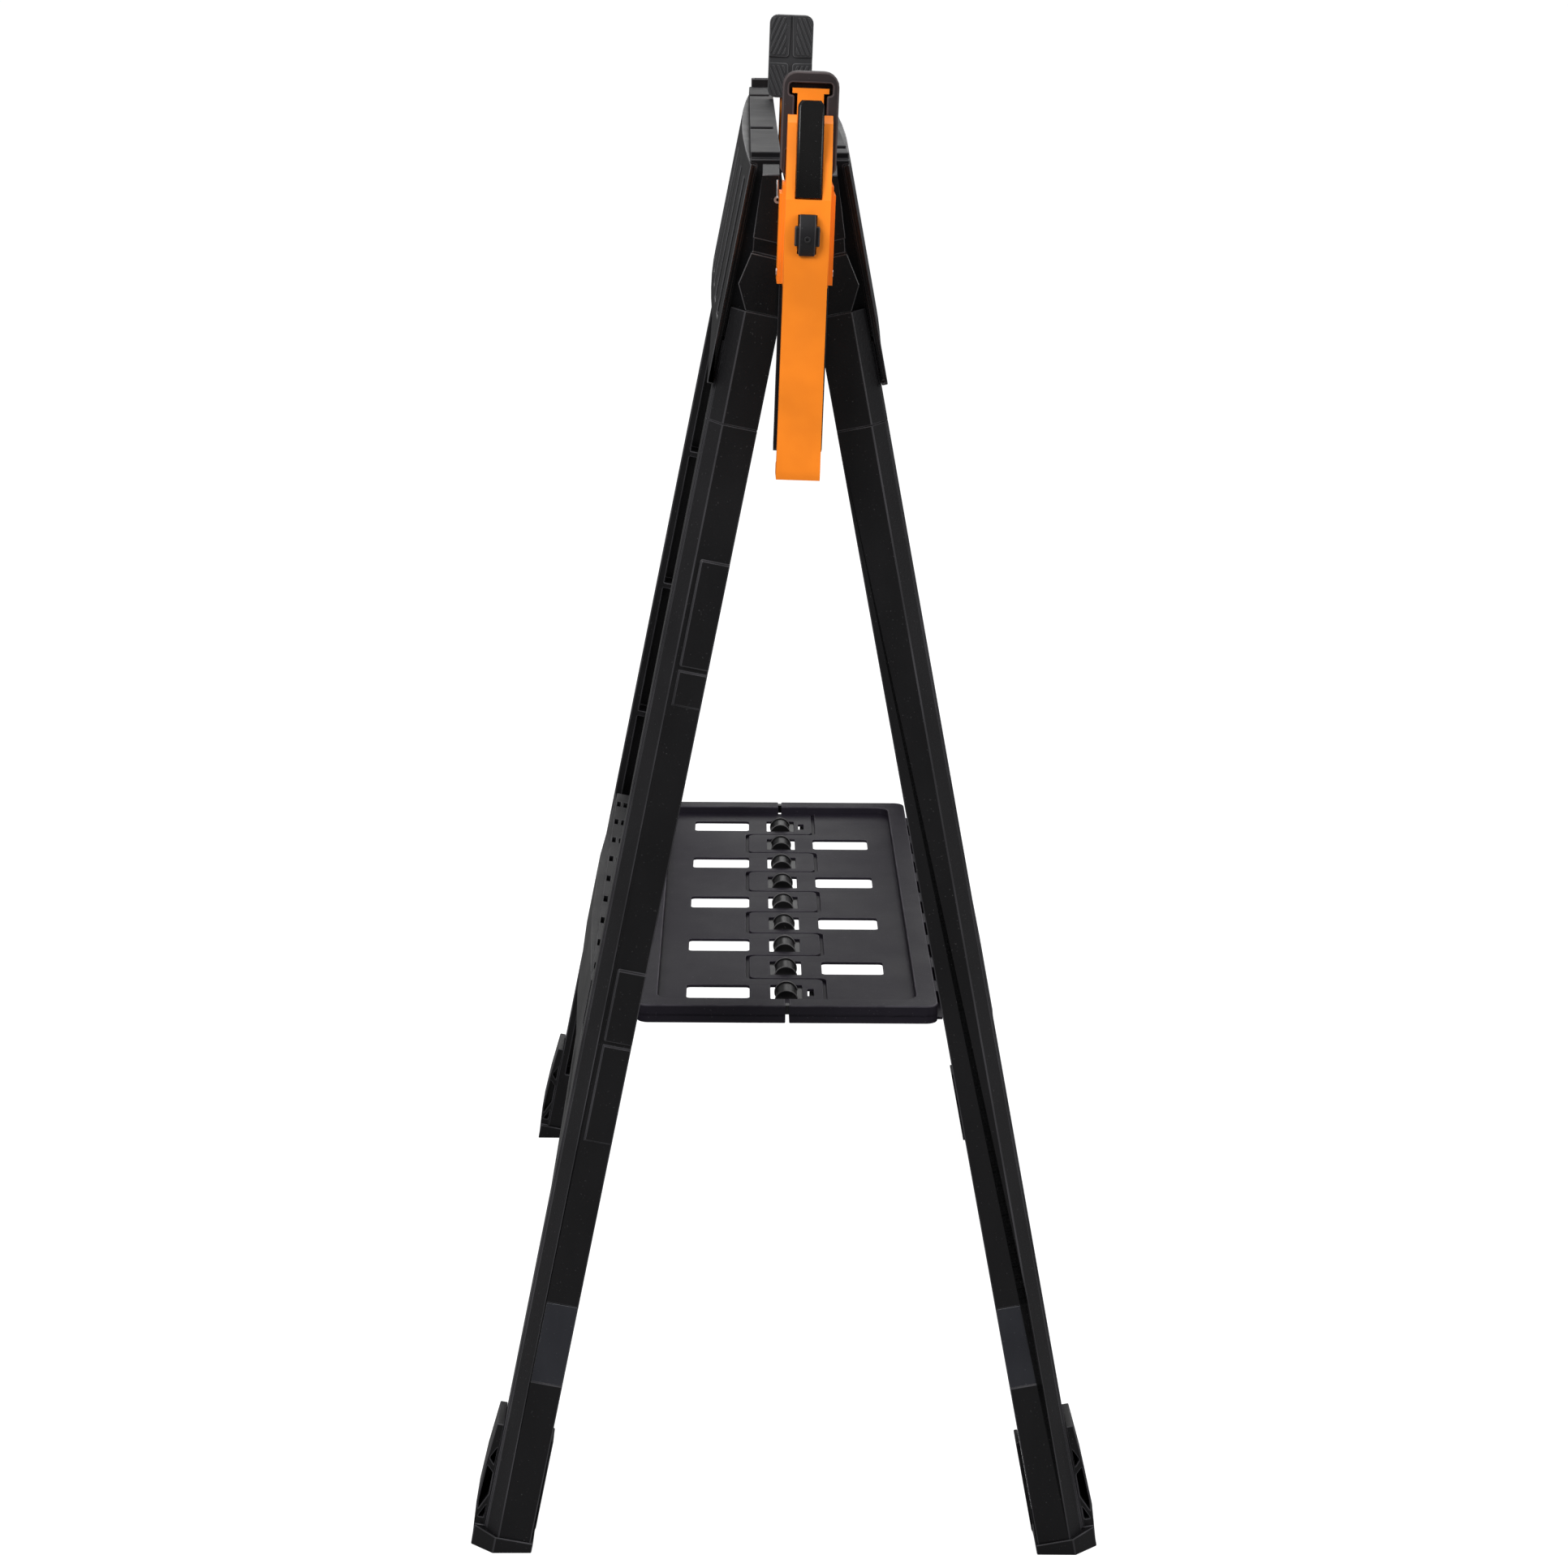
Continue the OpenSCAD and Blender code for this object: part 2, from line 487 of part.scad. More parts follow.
trigger_in = 7.3;
module clamp_trigger() color(black) at_clamp() difference() {
    union() {
        rod_x(trigger_pin[0], trigger_pin[1], 5, -trigger_in, trigger_in);
        along_x(-trigger_in, trigger_in) polygon([[-323.4, 741], [-314.4, 741], [-310.6, 726],
            [-317, 722]]);
        difference() {
            along_x(-12.9, 12.9) polygon([[-317.5, 734], [-310, 733.4], [-309.4, 716], [-312, 697],
                [-309.6, 682], [-311.8, 662], [-309.8, 650], [-313, 646], [-318, 648], [-318, 697],
                [-318.4, 722]]);
            slab(-10.4, 10.4, -330, -314, 640, 722);
        }
    }
    rod_x(trigger_pin[0], trigger_pin[1], 2.05, -20, 20);
}

module trigger_pin_rod() color(steel) at_clamp() rod_x(trigger_pin[0], trigger_pin[1], 2, -15, 15);

// Curved thumb lever: a ring sector carried across between the cheeks
module release_lever() color(black) at_clamp() difference() {
    union() {
        intersection() {
            difference() {
                rod_x(-245, 786, 97.5, -6.6, 6.6);
                rod_x(-245, 786, 91, -7, 7);
            }
            slab(-7, 7, -360, -300, lever_room + 0.8, top_h + 29);
        }
        rod_x(lever_pin[0], lever_pin[1], 4.4, -6.6, 6.6);
        along_x(-3, 3) polygon([[-325, 786.5], [-339, 784], [-339, 795], [-325, 794]]);
    }
    rod_x(lever_pin[0], lever_pin[1], 2.05, -20, 20);
}

module release_pin_rod() color(steel) at_clamp() rod_x(lever_pin[0], lever_pin[1], 2, -11.2, 11.2);

module drive_plates() color(steel) at_clamp() for (y = [-314, -318])
    difference() {
        slab(-8, 8, y - 1.2, y + 1.2, bar_z - 15, bar_z + 12.4);
        slab(-bar_half - 0.5, bar_half + 0.5, y - 3, y + 3, bar_z - bar_h / 2 - 0.6,
            bar_z + bar_h / 2 + 0.6);
    }

// Coil round the bar that pushes the drive plates back
coil_turns = 3;
coil_steps = 12;
coil_sides = 6;
coil_mid_r = 7.3;
coil_wire = 0.5;
coil_tall = 1.62;
function coil_ring(i) = let (a = i * 360 / coil_steps, y = -328.6 + i * 8 / (coil_turns * coil_steps))
    [for (k = [0:coil_sides - 1]) let (b = k * 360 / coil_sides, r = coil_mid_r + coil_wire * cos(b))
        [r * cos(a), y + coil_wire * sin(b), r * sin(a) * coil_tall]];
module drive_spring() color(steel) at_clamp() translate([0, 0, bar_z]) {
    last = coil_turns * coil_steps;
    points = [for (i = [0:last], p = coil_ring(i)) p];
    sides = [for (i = [0:last - 1], k = [0:coil_sides - 1])
        let (n = (k + 1) % coil_sides, a = i * coil_sides) [a + k, a + n, a + coil_sides + n,
        a + coil_sides + k]];
    start = [for (k = [coil_sides - 1:-1:0]) k];
    end = [for (k = [0:coil_sides - 1]) last * coil_sides + k];
    polyhedron(points, concat(sides, [start], [end]), convexity = 6);
}

top_beam(-1);  // left_top_beam
top_beam(1);  // right_top_beam
side_plate(-1);  // left_side_plate
side_plate(1);  // right_side_plate
end_caps(-1);  // left_end_caps
end_caps(1);  // right_end_caps
socket(-1, -1);  // left_front_socket
socket(-1, 1);  // left_rear_socket
socket(1, -1);  // right_front_socket
socket(1, 1);  // right_rear_socket
leg(-1, -1);  // left_front_leg
leg(-1, 1);  // left_rear_leg
leg(1, -1);  // right_front_leg
leg(1, 1);  // right_rear_leg
foot(-1, -1);  // left_front_foot
foot(-1, 1);  // left_rear_foot
foot(1, -1);  // right_front_foot
foot(1, 1);  // right_rear_foot
cross_rail(-1);  // left_cross_rail
cross_rail(1);  // right_cross_rail
hinge_pin(-1);  // front_hinge_pin
hinge_pin(1);  // rear_hinge_pin
shelf(-1);  // left_shelf
shelf(1);  // right_shelf
shelf_pin(-1);  // left_shelf_pin
shelf_pin(1);  // right_shelf_pin
front_catch_pin();
rail_hook(-1);  // left_rail_hook
rail_hook(1);  // right_rail_hook
rear_bar_stop();
clamp_bar();
fixed_jaw();
fixed_jaw_pad();
bar_end_stop();
bar_stop_pin();
clamp_body();
jaw_boot();
clamp_trigger();
trigger_pin_rod();
release_lever();
release_pin_rod();
drive_plates();
drive_spring();
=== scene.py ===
import json
import math

import bmesh
import bpy
from mathutils import Matrix, Vector

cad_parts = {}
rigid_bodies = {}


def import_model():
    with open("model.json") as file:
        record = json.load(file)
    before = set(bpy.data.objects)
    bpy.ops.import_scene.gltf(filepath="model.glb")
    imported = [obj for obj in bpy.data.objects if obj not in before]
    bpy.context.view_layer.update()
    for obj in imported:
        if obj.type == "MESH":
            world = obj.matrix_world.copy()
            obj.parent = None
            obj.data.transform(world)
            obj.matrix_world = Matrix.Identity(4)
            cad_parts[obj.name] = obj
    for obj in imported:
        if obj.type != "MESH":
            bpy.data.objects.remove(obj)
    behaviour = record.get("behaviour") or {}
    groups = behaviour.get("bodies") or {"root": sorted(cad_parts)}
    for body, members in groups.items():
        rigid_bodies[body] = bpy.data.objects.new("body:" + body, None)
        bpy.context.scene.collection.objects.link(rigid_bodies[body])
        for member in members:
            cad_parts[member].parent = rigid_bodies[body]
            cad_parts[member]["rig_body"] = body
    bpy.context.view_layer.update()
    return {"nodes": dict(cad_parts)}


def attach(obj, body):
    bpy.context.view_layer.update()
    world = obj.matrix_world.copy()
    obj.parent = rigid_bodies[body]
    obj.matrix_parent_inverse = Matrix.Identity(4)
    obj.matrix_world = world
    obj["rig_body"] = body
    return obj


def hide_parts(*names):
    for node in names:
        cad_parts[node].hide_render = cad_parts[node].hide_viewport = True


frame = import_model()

NODES = frame["nodes"]
MM = 0.001
SCENE = bpy.context.scene
SCENE.view_settings.view_transform = "Standard"

# The same main sizes as the CAD model, in millimetres
HINGE_Z = 748
LEAN = math.radians(11.06)
MID_Y = 8


# ---- materials ----
def shader(name):
    """A new material, with the nodes, links and Principled shader of its tree."""
    mat = bpy.data.materials.new(name)
    mat.use_nodes = True
    tree = mat.node_tree
    return mat, tree.nodes, tree.links, tree.nodes["Principled BSDF"]


CLOUD_SCALE, FLOW_SCALE, DUST_SCALE = 14, 60, 900      # noise cells in a metre
GRAIN_DEPTH, BRUSH_DEPTH = 0.0004, 0.0002              # metres


def noise(nodes, links, coord, scale, detail, rough, stretch=(1, 1, 1)):
    mapping = nodes.new("ShaderNodeMapping")
    mapping.inputs["Scale"].default_value = stretch
    links.new(coord.outputs["Object"], mapping.inputs["Vector"])
    tex = nodes.new("ShaderNodeTexNoise")
    tex.inputs["Scale"].default_value = scale
    tex.inputs["Detail"].default_value = detail
    tex.inputs["Roughness"].default_value = rough
    links.new(mapping.outputs["Vector"], tex.inputs["Vector"])
    return tex.outputs["Fac"]


def ramp(nodes, links, value, low, high, out_low=0.0, out_high=1.0):
    node = nodes.new("ShaderNodeMapRange")
    node.inputs["From Min"].default_value = low
    node.inputs["From Max"].default_value = high
    node.inputs["To Min"].default_value = out_low
    node.inputs["To Max"].default_value = out_high
    links.new(value, node.inputs["Value"])
    return node.outputs["Result"]


def mix_colour(nodes, links, factor, a, b):
    node = nodes.new("ShaderNodeMix")
    node.data_type = "RGBA"
    links.new(factor, node.inputs["Factor"])
    for socket, value in ((node.inputs[6], a), (node.inputs[7], b)):
        if isinstance(value, tuple):
            socket.default_value = (*value, 1)
        else:
            links.new(value, socket)
    return node.outputs[2]


def add(nodes, links, a, b):
    node = nodes.new("ShaderNodeMath")
    node.operation = "ADD"
    node.use_clamp = True
    links.new(a, node.inputs[0])
    links.new(b, node.inputs[1])
    return node.outputs[0]


def plastic(name, colour, flow_and_highlight_colour, flow_and_highlight_range, rough, grain, bump, spec, stretch, dust):
    """Moulded plastic: fine grain, uneven gloss, specks of dust, and a paler mix: faint flow marks, or a
    painted edge highlight.
    """
    mat, nodes, links, bsdf = shader(name)
    coord = nodes.new("ShaderNodeTexCoord")
    fine = noise(nodes, links, coord, grain, 3, 0.6, stretch)
    cloud = noise(nodes, links, coord, CLOUD_SCALE, 4, 0.6)
    flow = noise(nodes, links, coord, FLOW_SCALE, 3, 0.5, (1, 1, 0.2))
    tone = tuple(c * 1.3 for c in colour)
    base = mix_colour(nodes, links, ramp(nodes, links, cloud, 0.38, 0.64), colour, tone)
    # Mix towards the paler colour: faint flow marks on faces, a painted highlight on the rounded edges.
    base = mix_colour(nodes, links, ramp(nodes, links, flow, 0.36, 0.62, *flow_and_highlight_range), base, flow_and_highlight_colour)
    fleck = noise(nodes, links, coord, DUST_SCALE, 1, 0.4)
    specks = ramp(nodes, links, fleck, 0.735, 0.76, 0.0, dust)
    dusty = tuple(min(1, c * 2.2 + 0.06) for c in colour)
    base = mix_colour(nodes, links, specks, base, dusty)
    links.new(base, bsdf.inputs["Base Color"])
    gloss = add(nodes, links, ramp(nodes, links, cloud, 0.3, 0.7, *rough),
                ramp(nodes, links, fine, 0.3, 0.7, 0.0, 0.06))
    links.new(gloss, bsdf.inputs["Roughness"])
    bsdf.inputs["Specular IOR Level"].default_value = spec
    push = nodes.new("ShaderNodeBump")
    push.inputs["Strength"].default_value = bump
    push.inputs["Distance"].default_value = GRAIN_DEPTH
    links.new(fine, push.inputs["Height"])
    links.new(push.outputs["Normal"], bsdf.inputs["Normal"])
    return mat


def moulded(name, colour, edge, rough=(0.42, 0.55), grain=1500, bump=0.12, spec=0.5,
            stretch=(1, 1, 1), dust=0.5):
    """A plastic for faces, and a paler one for the rounded edges between them, whose paleness is a painted
    highlight.
    """
    look = (rough, grain, bump, spec, stretch, dust)
    face = plastic(name, colour, edge, (0.0, 0.03), *look)
    edge_highlight = plastic(name + "_edge", colour, edge, (0.45, 1.0), *look)
    return face, edge_highlight


def metal(name, colour, rough=(0.25, 0.4), stretch=(1, 30, 1)):
    """Brushed metal, the same on faces and on edges."""
    mat, nodes, links, bsdf = shader(name)
    coord = nodes.new("ShaderNodeTexCoord")
    brushed = noise(nodes, links, coord, 300, 3, 0.6, stretch)
    tone = tuple(c * 0.7 for c in colour)
    links.new(mix_colour(nodes, links, ramp(nodes, links, brushed, 0.3, 0.7), tone, colour),
              bsdf.inputs["Base Color"])
    links.new(ramp(nodes, links, brushed, 0.3, 0.7, *rough), bsdf.inputs["Roughness"])
    bsdf.inputs["Metallic"].default_value = 1.0
    push = nodes.new("ShaderNodeBump")
    push.inputs["Strength"].default_value = 0.1
    push.inputs["Distance"].default_value = BRUSH_DEPTH
    links.new(brushed, push.inputs["Height"])
    links.new(push.outputs["Normal"], bsdf.inputs["Normal"])
    return mat, mat


# The second colour of each plastic is its paler edge colour: a painted highlight on the rounded edges.
BLACK = moulded("black_plastic", (0.0034, 0.0032, 0.0038), (0.058, 0.056, 0.062), (0.34, 0.46), spec=0.28)
DECK = moulded("deck_plastic", (0.0048, 0.0046, 0.0056), (0.060, 0.058, 0.062), (0.44, 0.56),
               900, 0.5, 0.15, stretch=(0.05, 1, 0.3))
CHARCOAL = moulded("charcoal_plastic", (0.0052, 0.0050, 0.0060), (0.10, 0.098, 0.104),
                   (0.36, 0.48), spec=0.3)
CAP = moulded("cap_plastic", (0.0020, 0.0017, 0.0021), (0.075, 0.073, 0.078), (0.16, 0.24),
              700, 0.03, 0.4)
SHELF = moulded("shelf_plastic", (0.0105, 0.0086, 0.0140), (0.055, 0.050, 0.062), (0.42, 0.54),
                1800, 0.1, 0.22)
ORANGE = moulded("orange_plastic", (1.0, 0.255, 0.013), (1.0, 0.36, 0.07), (0.36, 0.46), 1200, 0.04, 0.3,
                 dust=0.0)
BAR_PAINT = moulded("orange_bar_paint", (0.95, 0.15, 0.008), (0.9, 0.30, 0.06), (0.25, 0.36),
                    500, 0.05, 0.4, dust=0.0)
BOOT = moulded("boot_rubber", (0.026, 0.019, 0.020), (0.10, 0.078, 0.08), (0.5, 0.62), 1400, 0.15, 0.3)
PAD = moulded("pad_rubber", (0.030, 0.030, 0.032), (0.10, 0.10, 0.104), (0.4, 0.52), 1200, 0.2, 0.3)
LEVER = moulded("lever_plastic", (0.0026, 0.0024, 0.0024), (0.07, 0.067, 0.067), (0.15, 0.25),
                1600, 0.1, 0.35, dust=0.8)
STOP = moulded("stop_plastic", (0.010, 0.0095, 0.0108), (0.07, 0.067, 0.07), (0.34, 0.46), spec=0.3)
KNUCKLE = moulded("knuckle_plastic", (0.0015, 0.0014, 0.0016), (0.13, 0.126, 0.13),
                  (0.26, 0.36), spec=0.35)
GRAINED = moulded("grained_plastic", (0.0080, 0.0077, 0.0088), (0.058, 0.056, 0.062), (0.42, 0.54),
                  700, 0.5, 0.3)
PANEL = moulded("smooth_panel_plastic", (0.0160, 0.0166, 0.0215), (0.20, 0.205, 0.22), (0.24, 0.34),
                2500, 0.03, 0.35)
STEEL = metal("zinc_steel", (0.75, 0.76, 0.78))

FINISH = {"top_beam": DECK, "side_plate": CHARCOAL, "end_caps": CAP, "socket": BLACK, "leg": BLACK,
          "foot": BLACK, "cross_rail": CHARCOAL, "shelf": SHELF, "shelf_pin": STEEL, "catch_pin": STEEL,
          "rail_hook": BLACK, "hinge_pin": STEEL, "rear_bar_stop": BLACK,
          "clamp_bar": BAR_PAINT, "fixed_jaw": ORANGE,
          "fixed_jaw_pad": PAD, "bar_end_stop": STOP, "bar_stop_pin": STEEL, "clamp_body": ORANGE,
          "jaw_boot": BOOT, "clamp_trigger": BLACK, "trigger_pin_rod": STEEL, "release_lever": LEVER,
          "release_pin_rod": STEEL, "drive_plates": STEEL, "drive_spring": STEEL}


def finish_of(node):
    for prefix in ("left_front_", "left_rear_", "right_front_", "right_rear_", "left_", "right_", "front_",
                   "rear_", ""):
        if node.startswith(prefix) and node[len(prefix):] in FINISH:
            return FINISH[node[len(prefix):]]
    raise KeyError(node)


# ---- softened copies of the CAD nodes ----
FACE, EDGE, CHAMFER = 0, 1, 2                # material places on a mesh
FLAT, SHARP = math.radians(1.5), math.radians(28)
SHORTEST_EDGE = 2.0                          # mm, shorter edges stay sharp
OVERHANG = 0.1                               # mm, how much the largest coordinates may grow
FULLY_ROUNDED = ("_leg", "_socket", "_end_caps", "_side_plate", "_foot", "_top_beam")


def add_object(name, mesh, materials, body):
    obj = bpy.data.objects.new(name, mesh)
    SCENE.collection.objects.link(obj)
    for part in materials:
        mesh.materials.append(part)
    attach(obj, body)
    return obj


def rounded(source, width, clamped):
    """The CAD node's solid with its sharp edges rounded, the rounded faces in the edge material."""
    bm = bmesh.new()
    bm.from_mesh(source.data)
    bmesh.ops.remove_doubles(bm, verts=bm.verts, dist=0.01 * MM)
    bmesh.ops.dissolve_limit(bm, angle_limit=FLAT, verts=bm.verts, edges=bm.edges)
    edges = [e for e in bm.edges if len(e.link_faces) == 2 and e.calc_face_angle(0) > SHARP
             and e.calc_length() > SHORTEST_EDGE * MM]
    for face in bm.faces:
        face.material_index = FACE
    # The rounded faces get the paler edge material: a painted highlight.
    bmesh.ops.bevel(bm, geom=edges, offset=width * MM, segments=2, profile=0.5, affect="EDGES",
                    clamp_overlap=clamped, miter_outer="ARC", material=EDGE)
    # The rounding folds some many-cornered faces over themselves. Their backward triangles are turned
    # to face outwards, but they still lie over their neighbours: an open fault.
    for face in [f for f in bm.faces if len(f.verts) > 4]:
        normal = face.normal.copy()
        for part in bmesh.ops.triangulate(bm, faces=[face])["faces"]:
            part.normal_update()
            if part.normal.dot(normal) < 0:
                part.normal_flip()
    return bm


def extent(verts):
    return [max(abs(v.co[axis]) for v in verts) for axis in range(3)]


def softened(node, width):
    """A copy of a CAD node whose sharp edges are rounded, which is shown in the node's place."""
    source = NODES[node]
    full = node.endswith(FULLY_ROUNDED)
    bm = rounded(source, width, not full)
    sizes = zip(extent(bm.verts), extent(source.data.vertices))
    if full and any(a > b + OVERHANG * MM for a, b in sizes):
        bm.free()
        bm = rounded(source, width, True)
    finish = finish_of(node)
    if node.endswith(("_leg", "_socket")):
        finish = finish + (GRAINED[0],)
        for face in bm.faces:
            if face.material_index == FACE and abs(face.normal.x) > 0.3 and abs(face.normal.y) > 0.3:
                face.material_index = CHAMFER
    mesh = bpy.data.meshes.new(node + "_soft")
    bm.to_mesh(mesh)
    bm.free()
    obj = add_object(node + "_soft", mesh, finish, source["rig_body"])
    if not node.endswith("_leg"):
        smooth(obj)
    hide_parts(node)


def smooth(obj, angle=32):
    mesh = obj.data
    mesh.shade_smooth()
    mesh.set_sharp_from_angle(angle=math.radians(angle))
    normals = obj.modifiers.new("weighted", "WEIGHTED_NORMAL")
    normals.keep_sharp = True


WIDTH = 0.6
WIDTHS = {"clamp_body": 1.5, "fixed_jaw": 1.2, "clamp_trigger": 0.8}
HIDDEN_WORK = ("drive_spring", "drive_plates")
REBUILT = ("left_shelf", "right_shelf", "release_lever", "fixed_jaw_pad", "bar_end_stop", "jaw_boot")

for node in sorted(NODES):
    if node in HIDDEN_WORK:
        NODES[node].data.materials.clear()
        NODES[node].data.materials.append(finish_of(node)[FACE])
    elif node not in REBUILT:
        softened(node, WIDTHS.get(node, WIDTH))


# ---- plates cut from outlines with rounded corners ----
CORNER_STEPS = 5


def outline(corners):
    """A closed outline through (x, y, radius) corners, each rounded to its radius."""
    points = []
    for i, (x, y, radius) in enumerate(corners):
        here = Vector((x, y))
        if radius <= 0:
            points.append(here)
            continue
        back = Vector(corners[i - 1][:2]) - here
        ahead = Vector(corners[(i + 1) % len(corners)][:2]) - here
        half = back.angle(ahead) / 2
        reach = min(radius / math.tan(half), back.length * 0.49, ahead.length * 0.49)
        centre = here + (back.normalized() + ahead.normalized()).normalized() * (reach / math.cos(half))
        first = here + back.normalized() * reach - centre
        last = here + ahead.normalized() * reach - centre
        turn = math.copysign(first.angle(last), first.x * last.y - first.y * last.x)
        for k in range(CORNER_STEPS + 1):
            a = turn * k / CORNER_STEPS
            spun = (first.x * math.cos(a) - first.y * math.sin(a),
                    first.x * math.sin(a) + first.y * math.cos(a))
            points.append(centre + Vector(spun))
    return points


def rectangle(x0, x1, y0, y1, radius):
    return outline([(x0, y0, radius), (x1, y0, radius), (x1, y1, radius), (x0, y1, radius)])


def ring(inner, outer, steps):
    """A round band's outline, left open by a hair so that it is one line."""
    turns = [math.radians(359.9 * k / steps) for k in range(steps + 1)]
    far = [Vector((outer * math.cos(a), outer * math.sin(a))) for a in turns]
    near = [Vector((inner * math.cos(a), inner * math.sin(a))) for a in reversed(turns)]
    return far + near


def signed_area(points):
    return sum(points[i - 1].x * p.y - p.x * points[i - 1].y for i, p in enumerate(points)) / 2


def plate(bm, shape, low, high, bevel, place, holes=()):
    """Adds to bm a round-edged plate of the shape, less the holes, from low to high in its own Z."""
    curve = bpy.data.curves.new("plate", "CURVE")
    curve.dimensions = "2D"
    curve.fill_mode = "BOTH"
    curve.extrude = ((high - low) / 2 - bevel) * MM
    curve.bevel_depth = bevel * MM
    curve.bevel_resolution = 1
    curve.offset = -bevel * MM
    for path, wanted in [(shape, 1)] + [(hole, -1) for hole in holes]:
        points = path if signed_area(path) * wanted > 0 else path[::-1]
        spline = curve.splines.new("POLY")
        spline.points.add(len(points) - 1)
        for control, p in zip(spline.points, points):
            control.co = (p.x * MM, p.y * MM, 0, 1)
        spline.use_cyclic_u = True
    maker = bpy.data.objects.new("plate", curve)
    mesh = bpy.data.meshes.new_from_object(maker)
    # Rounded faces of the plate get the paler edge material: a painted highlight.
    for face in mesh.polygons:
        face.material_index = EDGE if 0.1 < abs(face.normal.z) < 0.98 else FACE
    mesh.transform(place @ Matrix.Translation((0, 0, (low + high) / 2 * MM)))
    bm.from_mesh(mesh)
    bpy.data.objects.remove(maker)
    bpy.data.curves.remove(curve)
    bpy.data.meshes.remove(mesh)


def built(name, bm, materials, body, stands_for):
    """Makes the piece from bm, in place of the CAD nodes that it stands for."""
    bmesh.ops.remove_doubles(bm, verts=bm.verts, dist=0.002 * MM)
    bmesh.ops.recalc_face_normals(bm, faces=bm.faces)
    mesh = bpy.data.meshes.new(name)
    bm.to_mesh(mesh)
    bm.free()
    obj = add_object(name, mesh, materials, body)
    smooth(obj, 40)
    if stands_for:
        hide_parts(*stands_for)


MIDDLE = Matrix.Translation((0, MID_Y * MM, 0))
UPRIGHT = Matrix.Rotation(math.pi / 2, 4, "X")      # outline in X and Z, thickness towards -Y
# Outline in Y and Z, thickness in X
EDGEWISE = Matrix(((0, 0, 1, 0), (1, 0, 0, 0), (0, 1, 0, 0), (0, 0, 0, 1)))


# ---- folding shelf ----
# In mm: X out from the centre hinge line, Y from the shelf's middle, Z up from the floor
ROW = 43
TIP, NOTCH = -22.3, 24.6
FINGER = 20.7
SHELF_END, RIM_IN, SHELF_X, RIM_X = 213, 200.8, 90, 77.6
SHELF_LOW, SHELF_UNDER, SHELF_FLOOR, SHELF_TOP = 284.5, 288.6, 290.6, 296
CENTRE_AXIS = 287.3
SHELF_PIN_X, SHELF_PIN_Z = 97.63, 290.23
HOLE_LOW, HOLE_HIGH = -14.5, 10.3      # a row's hinge opening, from the row's middle
HOLE_HALF = 9.7
SEAM = 1.1
LATCH_Y = 209
SLOT_END, SLOT_LOW, SLOT_HIGH = 60.6, -13.4, 9.7
RIB_LOW = 285.4
EAR = 9                                # half the length of an ear


def floor_corners(own):
    """The shelf half's floor from above, with fingers at its own rows and notches for the others."""
    corners = [(SEAM, SHELF_END, 0)]
    if max(own) == 4:
        corners.append((SEAM, RIM_IN, 0))
    else:
        corners += [(SEAM, RIM_IN + 0.5, 0), (NOTCH, RIM_IN + 0.5, 1)]
    for row in sorted(own, reverse=True):
        top = RIM_IN if row == 4 else row * ROW + FINGER
        base = -RIM_IN if row == -4 else row * ROW - FINGER
        if row != 4:
            corners.append((NOTCH, top, 4))
        corners += [(TIP, top, 4.5), (TIP, base, 4.5)]
        if row != -4:
            corners.append((NOTCH, base, 4))
    if min(own) == -4:
        corners.append((SEAM, -RIM_IN, 0))
    else:
        corners += [(NOTCH, -RIM_IN - 0.5, 1), (SEAM, -RIM_IN - 0.5, 0)]
    return corners + [(SEAM, -SHELF_END, 0), (SHELF_X, -SHELF_END, 7), (SHELF_X, SHELF_END, 7)]


